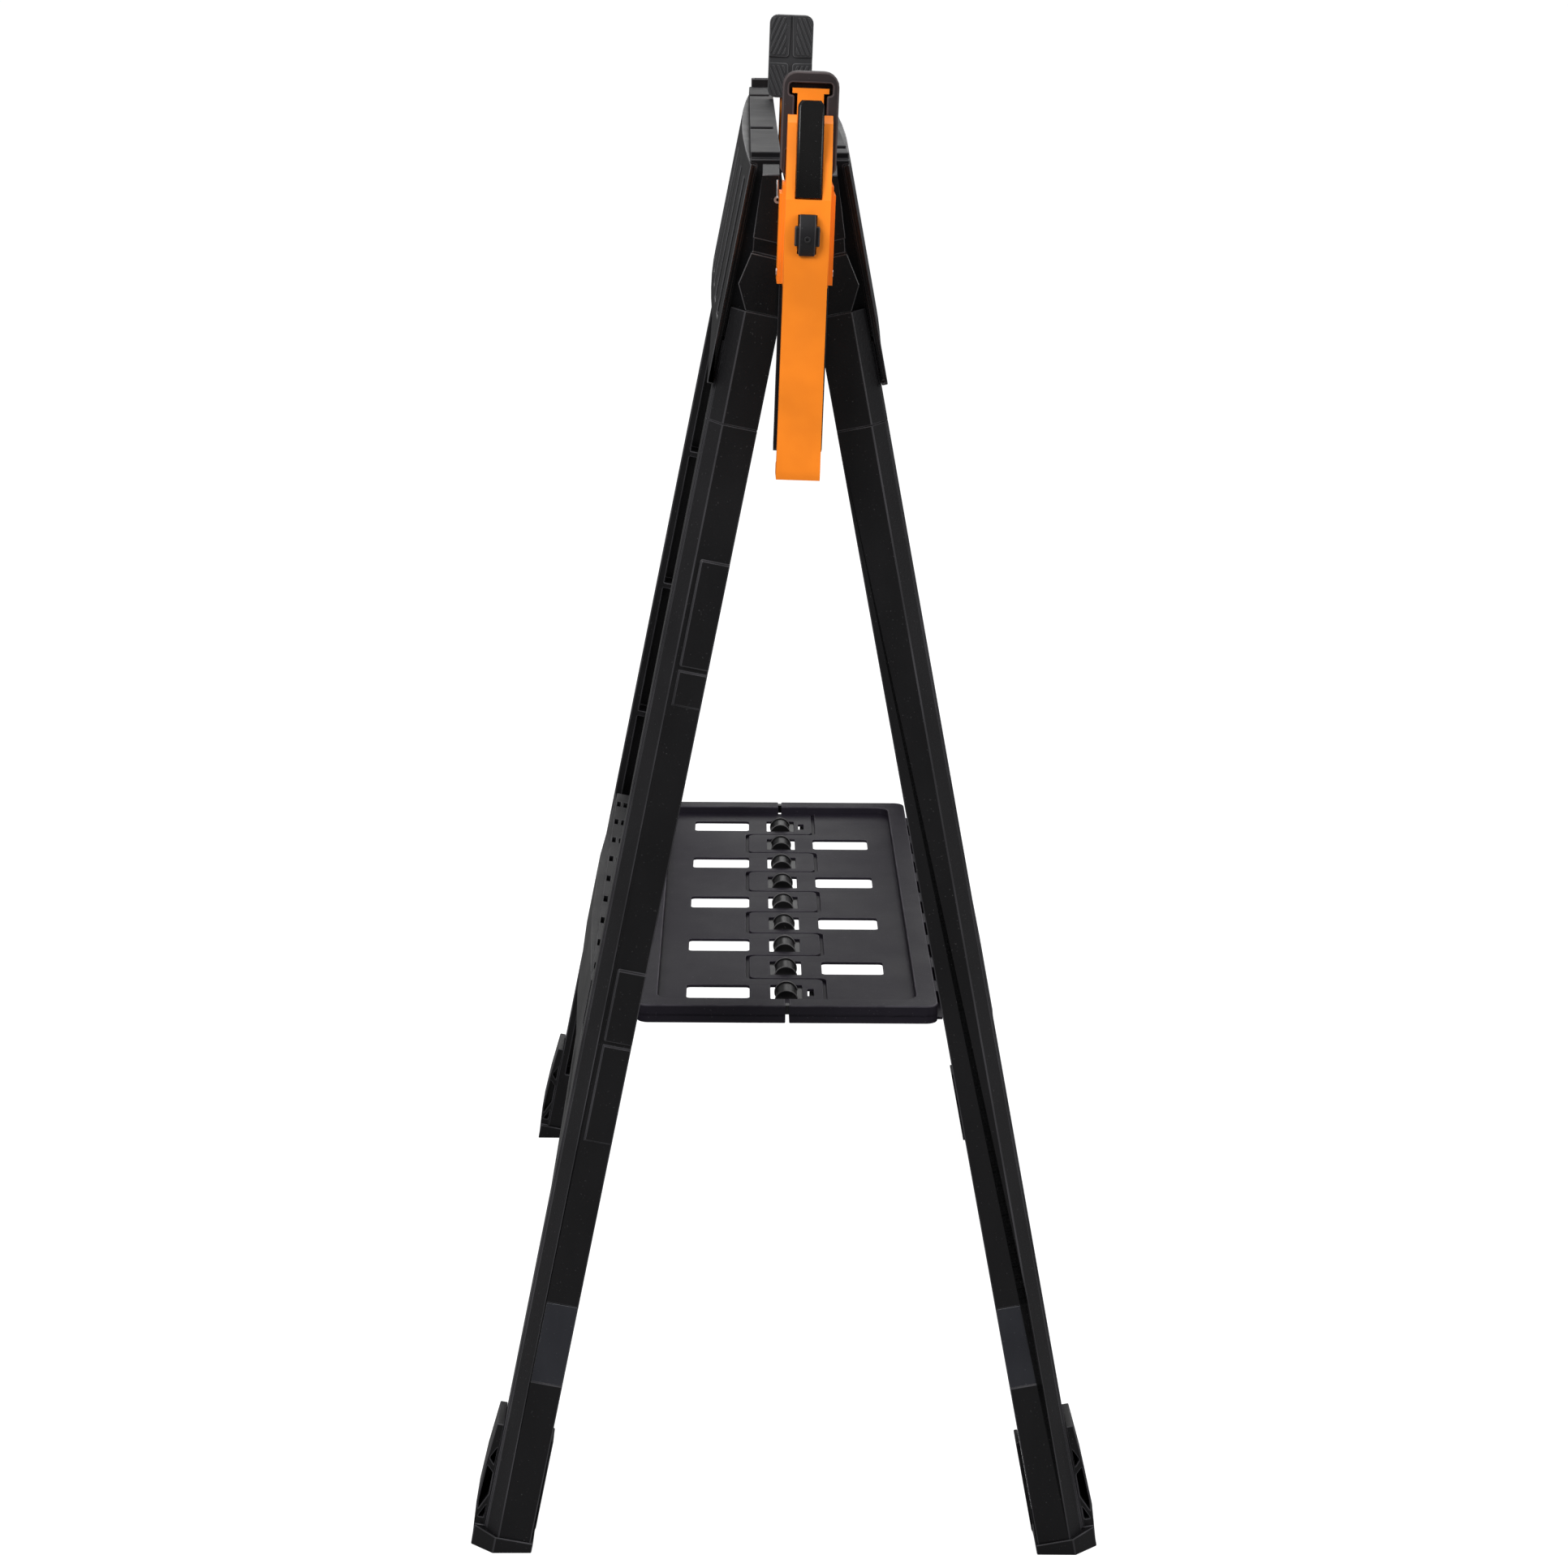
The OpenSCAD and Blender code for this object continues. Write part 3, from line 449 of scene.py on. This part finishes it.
def shelf_half(side):
    body = "right_tray" if side > 0 else "left_tray"
    own = [-3, -1, 1, 3] if side > 0 else [-4, -2, 0, 2, 4]
    other = [row for row in range(-4, 5) if row not in own]
    place = MIDDLE @ Matrix.Diagonal((side, 1, 1, 1))
    bm = bmesh.new()
    holes = []
    for row in own:
        y = row * ROW
        holes.append(rectangle(NOTCH - 2.2, SLOT_END, y + SLOT_LOW, y + SLOT_HIGH, 2.5))
        holes.append(rectangle(-HOLE_HALF, HOLE_HALF, y + HOLE_LOW, y + HOLE_HIGH, 1))
        if abs(row) == 4:
            holes.append(rectangle(-16.6, -12.8, y - 9.4, y + 3.5, 0.5))
    plate(bm, outline(floor_corners(own)), SHELF_UNDER, SHELF_FLOOR, 0.4, place, holes)
    rim = [(SEAM, -SHELF_END, 0), (SHELF_X, -SHELF_END, 7), (SHELF_X, SHELF_END, 7), (SEAM, SHELF_END, 0),
           (SEAM, RIM_IN, 0), (RIM_X, RIM_IN, 8), (RIM_X, -RIM_IN, 8), (SEAM, -RIM_IN, 0)]
    plate(bm, outline(rim), SHELF_LOW, SHELF_TOP, 0.9, place)
    # Ledges under the tips of the other half's fingers, and ribs under the floor
    for row in other:
        y = row * ROW
        ledge = rectangle(NOTCH - 7, NOTCH + 2, max(y - ROW / 2, -RIM_IN), min(y + 29, RIM_IN), 0)
        plate(bm, ledge, 286.1, 288.4, 0.3, place)
    for k in range(-4, 4):
        y = (k + 0.5) * ROW
        rib = rectangle(NOTCH + 6, RIM_X + 1, y - 0.9, y + 0.9, 0)
        plate(bm, rib, RIB_LOW, SHELF_UNDER + 0.3, 0.2, place)
    plate(bm, rectangle(65, 66.8, -RIM_IN - 1, RIM_IN + 1, 0), RIB_LOW, SHELF_UNDER + 0.3, 0.2, place)
    # Low lip along the outer side
    plate(bm, rectangle(SHELF_X - 1, SHELF_X + 3.2, -205, 205, 0.5), SHELF_LOW + 0.2, 286.6, 0.3, place)
    # Ears that hang on the pin along the cross rail
    for row in range(-4, 5):
        across = place @ Matrix.Translation((0, row * ROW * MM, SHELF_PIN_Z * MM)) @ UPRIGHT
        arm = rectangle(SHELF_X - 1, SHELF_PIN_X, -4, 4, 0)
        plate(bm, arm, -EAR, EAR, 0.5, across)
        barrel = [p + Vector((SHELF_PIN_X, 0)) for p in ring(2.1, 4.6, 24)]
        plate(bm, barrel, -EAR, EAR, 0.4, across)
    built(body + "_shelf", bm, SHELF, body, ("right_shelf" if side > 0 else "left_shelf",))
    bm = bmesh.new()
    for row in own:
        across = place @ Matrix.Translation((0, (row * ROW - 2) * MM, CENTRE_AXIS * MM)) @ UPRIGHT
        for radius, low, high in ((6.3, -8, 8), (7.3, 7.4, 9), (7.3, -9, -7.6)):
            plate(bm, arched(radius), low, high, 0.45, across)
        # Web from the barrel to the finger's tip; the other side stays open
        web = outline([(-10.2, -2.4, 0.4), (-6, -2.4, 0.4), (-6, 1.9, 0.4), (-10.2, 1.9, 0.4)])
        plate(bm, web, -12.5, 8.6, 0.3, across)
        if abs(row) == 4:
            plate(bm, rectangle(-17.8, -14.1, -2.6, 0.4, 0.3), -9.5, 6, 0.3, across)
    if side < 0:
        # Latch that closes the seam between the two rims, at both ends
        for y in (-LATCH_Y, LATCH_Y):
            plate(bm, rectangle(-4.4, 5, 289.4, 295.4, 0.8), -2, 2, 0.4,
                  place @ Matrix.Translation((0, y * MM, 0)) @ UPRIGHT)
    built(body + "_knuckles", bm, KNUCKLE, body, ())


def arched(radius):
    """The end view of a centre barrel: round above, flat below."""
    dip, steps = 22, 20
    turns = [math.radians(-dip + (180 + 2 * dip) * k / steps) for k in range(steps + 1)]
    return [Vector((radius * math.cos(a), radius * math.sin(a))) for a in turns]


for shelf_side in (-1, 1):
    shelf_half(shelf_side)


# ---- panels and webs on the legs ----
SPLAY = math.atan(0.04 * math.cos(LEAN))
FRONT_Y = 302.08
RECESS_LOW, RECESS_HIGH = -656.6, -607.4
FIN_LOW, FIN_TOP = -764, -692.6


def leg_place(side, end):
    """The leg's own directions: X across, Y in from its end face, Z up along it from the hinge."""
    return (MIDDLE @ Matrix.Diagonal((side, 1, 1, 1)) @ Matrix.Translation((0, 0, HINGE_Z * MM))
            @ Matrix.Rotation(-LEAN, 4, "Y") @ Matrix.Diagonal((1, -end, 1, 1))
            @ Matrix.Translation((0, -FRONT_Y * MM, 0)) @ Matrix.Rotation(-SPLAY, 4, "X"))


def leg_trim(side, end):
    body = "right_side" if side > 0 else "left_side"
    name = body + ("_rear" if end > 0 else "_front")
    place = leg_place(side, end) @ UPRIGHT
    bm = bmesh.new()
    plate(bm, rectangle(3.3, 21.2, RECESS_LOW, RECESS_HIGH, 0.6), -0.85, -0.4, 0.15, place)
    built(name + "_smooth_panel", bm, PANEL, body, ())
    bm = bmesh.new()
    web = outline([(31.2, FIN_LOW, 0), (36.4, FIN_LOW, 0), (37.8, -743, 0), (37, -719, 0),
                   (35, FIN_TOP, 1), (31.2, FIN_TOP, 0)])
    plate(bm, web, -37.5, -36, 0.2, place)
    built(name + "_fin_web", bm, BLACK, body, ())


for leg_side in (-1, 1):
    for leg_end in (-1, 1):
        leg_trim(leg_side, leg_end)


# ---- bar clamp ----
BAR_Z = 763
CLAMP_X, CLAMP_TURN, CLAMP_TILT = 0.6, math.radians(0.45), math.radians(1.5)
CLAMP = (Matrix.Translation((CLAMP_X * MM, MID_Y * MM, BAR_Z * MM)) @ Matrix.Rotation(CLAMP_TURN, 4, "Z")
         @ Matrix.Rotation(CLAMP_TILT, 4, "Y") @ Matrix.Translation((0, 0, -BAR_Z * MM)))
FACING = CLAMP @ UPRIGHT            # outline in X and Z, thickness towards -Y
SIDEWAYS = CLAMP @ EDGEWISE         # outline in Y and Z, thickness in X


def lofted(bm, sections, place):
    """Adds to bm a solid through closed sections, each a ring of (x, y, z) points of the same count."""
    rings = [[bm.verts.new(place @ (Vector(p) * MM)) for p in section] for section in sections]
    for a, b in zip(rings, rings[1:]):
        for k in range(len(a)):
            n = (k + 1) % len(a)
            bm.faces.new((a[k], a[n], b[n], b[k]))
    bm.faces.new(rings[0][::-1])
    bm.faces.new(rings[-1])


def lever():
    """The curved thumb lever between the cheeks, thin at the top and broad below."""
    bm = bmesh.new()
    sections = []
    heights = [781.6 + 4.2 * k for k in range(11)] + [826, 827.2, 828.3, 829.1, 829.5]
    for z in heights:
        front = -245 - math.sqrt(97.5 ** 2 - (z - 786) ** 2)
        near_top = max(0, (z - 826) / 3.5)
        half = 6.75 - 1.9 * near_top ** 2
        back = front + 6.2 - 1.2 * near_top
        sections.append([(p.x, p.y, z) for p in rectangle(-half, half, front, back, 1.5)])
    lofted(bm, sections, CLAMP)
    eye = [p + Vector((-327, 790)) for p in ring(2.1, 4.4, 24)]
    plate(bm, eye, -6.6, 6.6, 0.4, SIDEWAYS)
    arm = outline([(-325, 786.8, 0), (-337, 784.5, 1), (-337, 795, 1), (-325, 793.5, 0)])
    plate(bm, arm, -3, 3, 0.4, SIDEWAYS)
    built("thumb_lever", bm, LEVER, "release", ("release_lever",))


def slanting_ribs(width, low, high):
    """Outlines of the ribs on one field of a jaw face, from its outer side up to its inner side."""
    inner, slope, thick = 3.4, 2.45, 1.5
    ribs = []
    for k in range(7):
        start = -21.5 + 3.15 * k
        edges = []
        for x0 in (start, start + thick):
            x1 = x0 + (high - low) / slope
            z0 = low + max(0, -width - x0) * slope
            z1 = high - max(0, x1 + inner) * slope
            edges.append((Vector((max(x0, -width), z0)), Vector((min(x1, -inner), z1))))
        (a0, a1), (b0, b1) = edges
        if a1.y - a0.y > 2 and b1.y - b0.y > 1.5:
            ribs.append([a0, b0, b1, a1])
    return ribs


def far_pad():
    """The fixed jaw's face: a backing plate, four raised fields and slanting ribs on each."""
    bm = bmesh.new()
    jaw_y, low, groove, high = 150, 800.8, 825.2, 854.2
    facing = CLAMP @ Matrix.Translation((0, jaw_y * MM, 0)) @ UPRIGHT
    half_w = 14.4
    whole = rectangle(-half_w, half_w, low, high, 5.5)
    plate(bm, whole, -8, -5, 0.6, facing, [rectangle(-7.1, 7.1, 811.9, 840.1, 0.5)])
    plate(bm, whole, -5.2, -2.2, 0.7, facing)
    for across in (-1, 1):
        for up, height in ((1, high - groove), (-1, groove - low)):
            turn = facing @ Matrix.Translation((0, groove * MM, 0)) @ Matrix.Diagonal((-across, up, 1, 1))
            field = outline([(-half_w, 1.8, 0.3), (-1.3, 1.8, 2.2), (-0.6, height, 0.3),
                             (-half_w, height, 5.3)])
            plate(bm, field, -2.6, -0.8, 0.6, turn)
            for rib in slanting_ribs(13.4, 3.4, height - 1.6):
                plate(bm, rib, -1.2, -0.05, 0.3, turn)
    built("far_jaw_pad", bm, PAD, "sliding_bar", ("fixed_jaw_pad",))


def bar_stop():
    """The bar's end stop: a round-fronted block with an ear at each side and a pin hole."""
    bm = bmesh.new()
    front, middle = -347.2, 762.3
    body = [Vector((front - 1.3 + 4.6 * ((k - 1.5) / 11.5) ** 2, middle + k)) for k in range(-10, 12)]
    body += [Vector((front + 8.6, middle + 11)), Vector((front + 8.6, middle - 10))]
    plate(bm, body, -4.3, 4.3, 0.7, SIDEWAYS)
    ear = outline([(front + 4, middle - 5.2, 0), (front + 1.4, middle - 5.2, 1.6),
                   (front + 1.4, middle + 5.2, 1.6), (front + 4, middle + 5.2, 0)])
    plate(bm, ear, -6.5, 6.5, 0.8, SIDEWAYS)
    rim = CLAMP @ Matrix.Translation((0, (front - 1.3) * MM, (middle - 1.2) * MM)) @ UPRIGHT
    plate(bm, ring(0.9, 1.6, 20), -0.6, 0.35, 0.15, rim)
    built("bar_stop_block", bm, STOP, "sliding_bar", ("bar_end_stop",))


def near_boot():
    """The boot over the moving jaw, with a T-shaped opening over the orange rib."""
    bm = bmesh.new()
    jaw_y = -305 + 0.6
    facing = CLAMP @ Matrix.Translation((0, jaw_y * MM, 0)) @ UPRIGHT
    half_w, middle, half_h = 14.6, 815.3, 27.6
    front = rectangle(-half_w, half_w, middle - half_h, middle + half_h, 7.6)
    plate(bm, front, -0.2, 3.2, 0.8, facing)
    low = middle - half_h
    wall = [(-half_w, low + 6, 0), (-11.9, low + 2, 3), (-11.9, 803, 0.5), (-8.4, 806, 0.5),
            (-8.4, 831, 1.2), (-11.2, 831, 1.8), (-11.2, 837.2, 1.8), (11.2, 837.2, 1.8),
            (11.2, 831, 1.8), (8.4, 831, 1.2), (8.4, 806, 0.5), (11.9, 803, 0.5),
            (11.9, low + 2, 3), (half_w, low + 6, 0),
            (half_w, middle + half_h, 7.6), (-half_w, middle + half_h, 7.6)]
    plate(bm, outline(wall), 2.4, 10.4, 0.9, facing)
    built("near_jaw_boot", bm, BOOT, "spine", ("jaw_boot",))


lever()
far_pad()
bar_stop()
near_boot()


# ---- floor, camera and light ----
def floor():
    mesh = bpy.data.meshes.new("floor")
    size = 30
    corners = [(-size, -size, 0), (size, -size, 0), (size, size, 0), (-size, size, 0)]
    mesh.from_pydata(corners, [], [(0, 1, 2, 3)])
    obj = bpy.data.objects.new("floor", mesh)
    SCENE.collection.objects.link(obj)
    mat, nodes, links, bsdf = shader("floor_white")
    bsdf.inputs["Base Color"].default_value = (0.30, 0.30, 0.30, 1)
    bsdf.inputs["Roughness"].default_value = 0.8
    bright = nodes.new("ShaderNodeEmission")
    bright.inputs["Strength"].default_value = 0.93
    both = nodes.new("ShaderNodeAddShader")
    path = nodes.new("ShaderNodeLightPath")
    mix = nodes.new("ShaderNodeMixShader")
    links.new(bsdf.outputs["BSDF"], both.inputs[0])
    links.new(bright.outputs["Emission"], both.inputs[1])
    links.new(path.outputs["Is Camera Ray"], mix.inputs["Fac"])
    links.new(bsdf.outputs["BSDF"], mix.inputs[1])
    links.new(both.outputs["Shader"], mix.inputs[2])
    links.new(mix.outputs["Shader"], nodes["Material Output"].inputs["Surface"])
    mesh.materials.append(mat)


def area_light(name, place, aim, size, power):
    data = bpy.data.lights.new(name, "AREA")
    data.energy = power
    data.shape = "SQUARE"
    data.size = size
    obj = bpy.data.objects.new(name, data)
    obj.location = place
    obj.rotation_euler = (Vector(aim) - Vector(place)).to_track_quat("-Z", "Y").to_euler()
    SCENE.collection.objects.link(obj)


def camera():
    data = bpy.data.cameras.new("camera")
    data.sensor_width = 36
    data.lens = 70.38
    obj = bpy.data.objects.new("camera", data)
    pitch, yaw, roll = 0.2819, -0.0152, 0.0112
    eye = (-0.0295, -1.926 + MID_Y * MM, 0.9292)
    forward = Vector((-math.sin(yaw) * math.cos(pitch), math.cos(yaw) * math.cos(pitch),
                      -math.sin(pitch)))
    side = forward.cross(Vector((0, 0, 1))).normalized()
    up = side.cross(forward)
    right = side * math.cos(roll) + up * math.sin(roll)
    top = -side * math.sin(roll) + up * math.cos(roll)
    turn = Matrix((right, top, -forward)).transposed()
    obj.matrix_world = Matrix.Translation(eye) @ turn.to_4x4()
    SCENE.collection.objects.link(obj)
    SCENE.camera = obj


def studio_world(seen, lit):
    """A white backdrop for the camera, and a dimmer even light on the object."""
    world = bpy.data.worlds.new("studio")
    world.use_nodes = True
    nodes, links = world.node_tree.nodes, world.node_tree.links
    dim = nodes["Background"]
    dim.inputs["Color"].default_value = (1, 1, 1, 1)
    dim.inputs["Strength"].default_value = lit
    bright = nodes.new("ShaderNodeBackground")
    bright.inputs["Color"].default_value = (1, 1, 1, 1)
    bright.inputs["Strength"].default_value = seen
    path = nodes.new("ShaderNodeLightPath")
    mix = nodes.new("ShaderNodeMixShader")
    links.new(path.outputs["Is Camera Ray"], mix.inputs["Fac"])
    links.new(dim.outputs["Background"], mix.inputs[1])
    links.new(bright.outputs["Background"], mix.inputs[2])
    links.new(mix.outputs["Shader"], nodes["World Output"].inputs["Surface"])
    SCENE.world = world


floor()
camera()
studio_world(1.05, 0.24)
area_light("key", (-1.7, -2.4, 2.6), (0, 0, 0.4), 1.6, 72)
area_light("fill", (2.2, -1.8, 1.5), (0, 0, 0.4), 1.4, 26)
area_light("top", (0, 0.2, 3.4), (0, 0, 0.5), 2.4, 40)
area_light("back", (0.6, 3.4, 2.4), (0, 0, 0.6), 2.4, 24)
